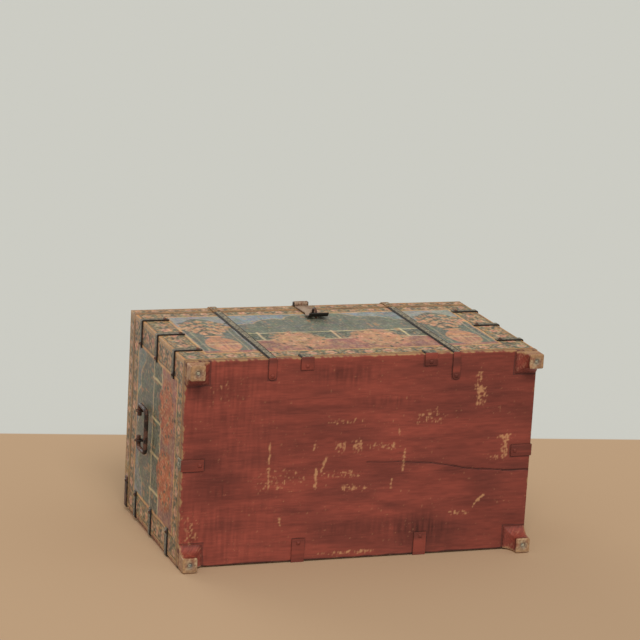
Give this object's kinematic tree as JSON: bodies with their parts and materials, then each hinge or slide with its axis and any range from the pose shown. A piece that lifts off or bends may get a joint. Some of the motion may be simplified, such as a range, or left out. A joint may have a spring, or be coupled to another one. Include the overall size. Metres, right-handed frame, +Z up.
{
  "type": "dome-top box",
  "caption": "Painted wooden chest with a domed, hinged lid, iron straps, a hasp and staple, end bail handles and coved corner feet, for papers and keepsakes.",
  "frame": {"origin": "on the resting surface, under the middle of the whole part's box", "axes": "+Z up, front with the hasp towards -Y, length along X"},
  "size_m": [0.5898, 0.3424, 0.4231],
  "materials": {
    "painted_wood": "old painted wood with floral borders, crackled and worn",
    "red_wood": "red-brown painted wood, rubbed and chipped",
    "foot_wood": "red-brown painted wood, worn bare on the pads",
    "forged_iron": "dark forged iron with some rust"
  },
  "bodies": {
    "box": {"bottom_board": "red_wood", "front_board": "painted_wood", "back_board": "red_wood", "left_end_board": "painted_wood", "right_end_board": "painted_wood", "foot_front_left": "foot_wood", "foot_front_right": "foot_wood", "foot_back_left": "foot_wood", "foot_back_right": "foot_wood", "foot_nails": "forged_iron", "carcass_nails": "forged_iron", "front_strap_left": "forged_iron", "front_strap_right": "forged_iron", "front_strap_nails": "forged_iron", "front_bottom_clips": "forged_iron", "left_end_clip": "forged_iron", "right_end_clip": "forged_iron", "clip_nails": "forged_iron", "corner_straps_front_left": "forged_iron", "corner_straps_front_right": "forged_iron", "corner_straps_back_left": "forged_iron", "corner_straps_back_right": "forged_iron", "corner_strap_nails": "forged_iron", "hinge_left_box_leaf": "forged_iron", "hinge_right_box_leaf": "forged_iron", "hinge_box_nails": "forged_iron", "hinge_pins": "forged_iron", "hasp_staple": "forged_iron", "left_handle_staples": "forged_iron", "right_handle_staples": "forged_iron"},
    "lid": {"lid_front_rail": "painted_wood", "lid_back_rail": "painted_wood", "lid_left_rail": "painted_wood", "lid_right_rail": "painted_wood", "lid_front_slope": "painted_wood", "lid_back_slope": "painted_wood", "lid_left_slope": "painted_wood", "lid_right_slope": "painted_wood", "lid_crown_board": "painted_wood", "lid_frame_nails": "forged_iron", "lid_strap_left": "forged_iron", "lid_strap_right": "forged_iron", "lid_strap_nails": "forged_iron", "hinge_left_lid_leaf": "forged_iron", "hinge_right_lid_leaf": "forged_iron", "hinge_lid_nails": "forged_iron", "rim_corner_straps": "forged_iron", "rim_strap_nails": "forged_iron", "hasp_hinge_plate": "forged_iron", "hasp_hinge_pin": "forged_iron", "hasp_plate_nails": "forged_iron"},
    "hasp": {"hasp_strap": "forged_iron"},
    "left_handle": {"left_handle_bail": "forged_iron"},
    "right_handle": {"right_handle_bail": "forged_iron"}
  },
  "joints": [
    {"name": "lid_hinge", "type": "hinge", "parent": "box", "child": "lid", "pos_m": [0, 0.16695, 0.31815], "axis": [-1, 0, 0], "range_deg": [0, 110]},
    {"name": "hasp_swing", "type": "hinge", "parent": "lid", "child": "hasp", "pos_m": [0, -0.16035, 0.34], "axis": [-1, 0, 0], "range_deg": [-2.5, 150]},
    {"name": "left_handle_swing", "type": "hinge", "parent": "box", "child": "left_handle", "pos_m": [-0.288, 0.0033, 0.243], "axis": [0, 1, 0], "range_deg": [0, 165]},
    {"name": "right_handle_swing", "type": "hinge", "parent": "box", "child": "right_handle", "pos_m": [0.288, 0.0033, 0.243], "axis": [0, -1, 0], "range_deg": [0, 165]}
  ]
}
